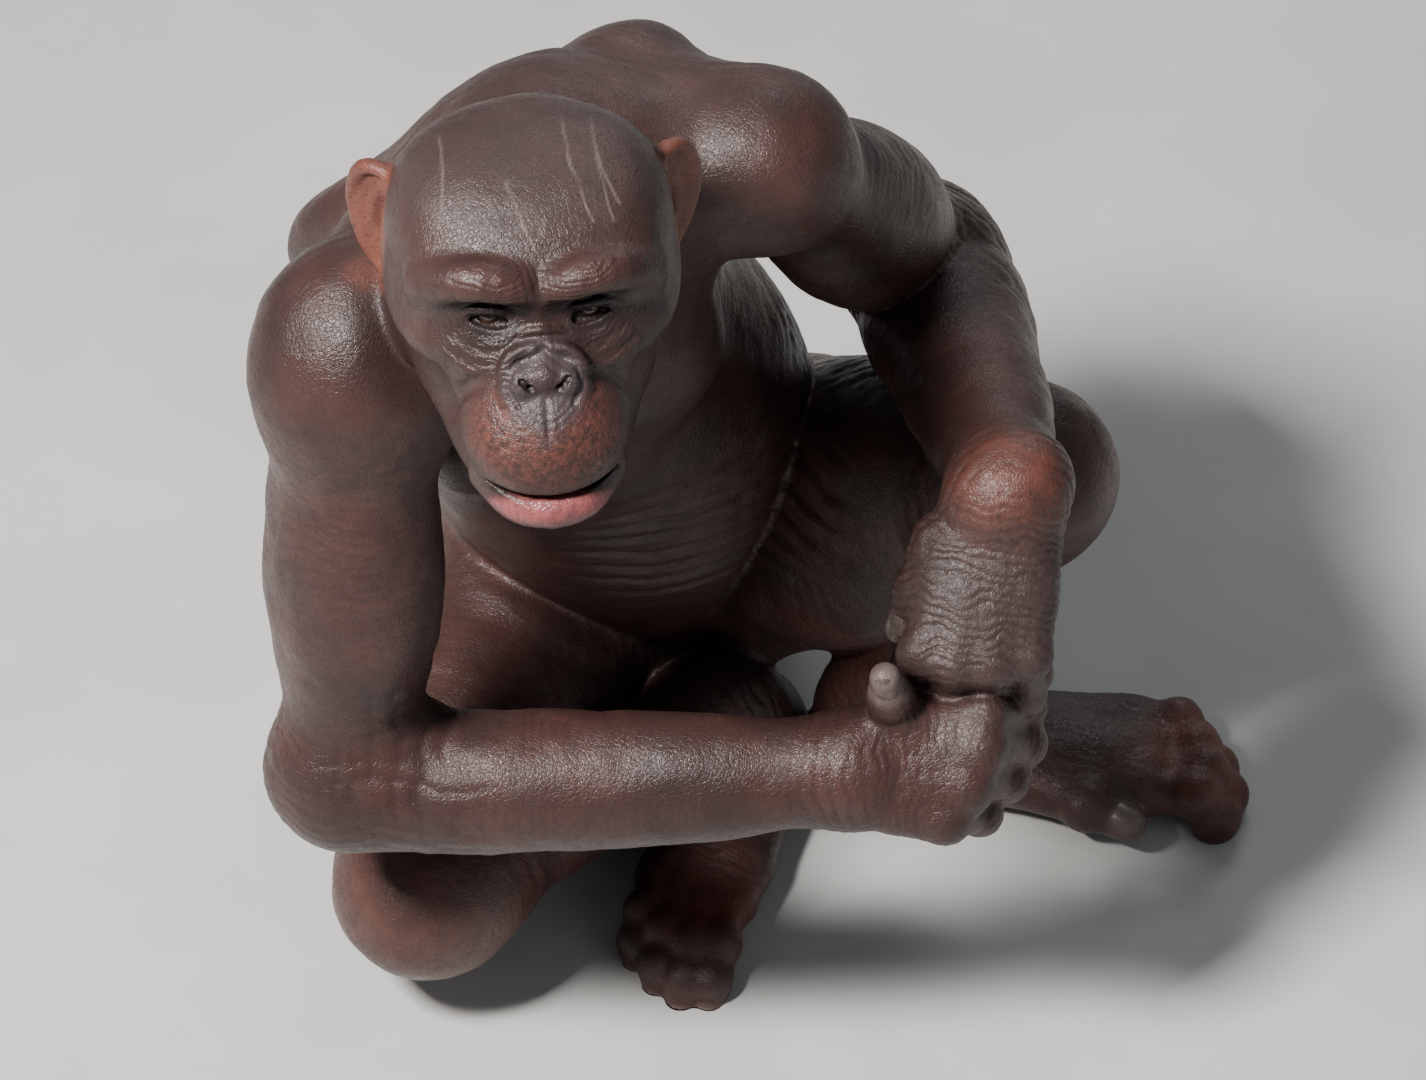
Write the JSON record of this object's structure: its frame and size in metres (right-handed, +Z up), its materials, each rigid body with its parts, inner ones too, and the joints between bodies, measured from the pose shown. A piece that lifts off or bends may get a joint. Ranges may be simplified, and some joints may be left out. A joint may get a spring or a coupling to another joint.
{
  "type": "chimpanzee model",
  "caption": "Life-size still model of a hairless chimpanzee sitting on the ground, one knee raised, forearms resting across the knees, hands clasped, mouth slightly open.",
  "frame": {"origin": "on the ground under the middle of the whole animal", "axes": "+Z up, -Y the way the trunk's open side is turned, +X the animal's left"},
  "size_m": [0.554, 0.571, 0.6763],
  "materials": {
    "skin": "dark brown-grey bare skin with a reddish undertone, finely wrinkled and mottled, satin with glossy tops",
    "ears": "orange-red bare skin, satin",
    "eyes": "dark brown iris, darkened white, wet gloss"
  },
  "bodies": {
    "root": {"abdomen": "skin", "chest": "skin", "ear_l": "ears", "ear_r": "ears", "eye_l": "eyes", "eye_r": "eyes", "foot_l": "skin", "foot_r": "skin", "forearm_l": "skin", "forearm_r": "skin", "hand_l": "skin", "hand_r": "skin", "head": "skin", "neck": "skin", "shin_l": "skin", "shin_r": "skin", "thigh_l": "skin", "thigh_r": "skin", "upper_arm_l": "skin", "upper_arm_r": "skin"}
  },
  "joints": []
}
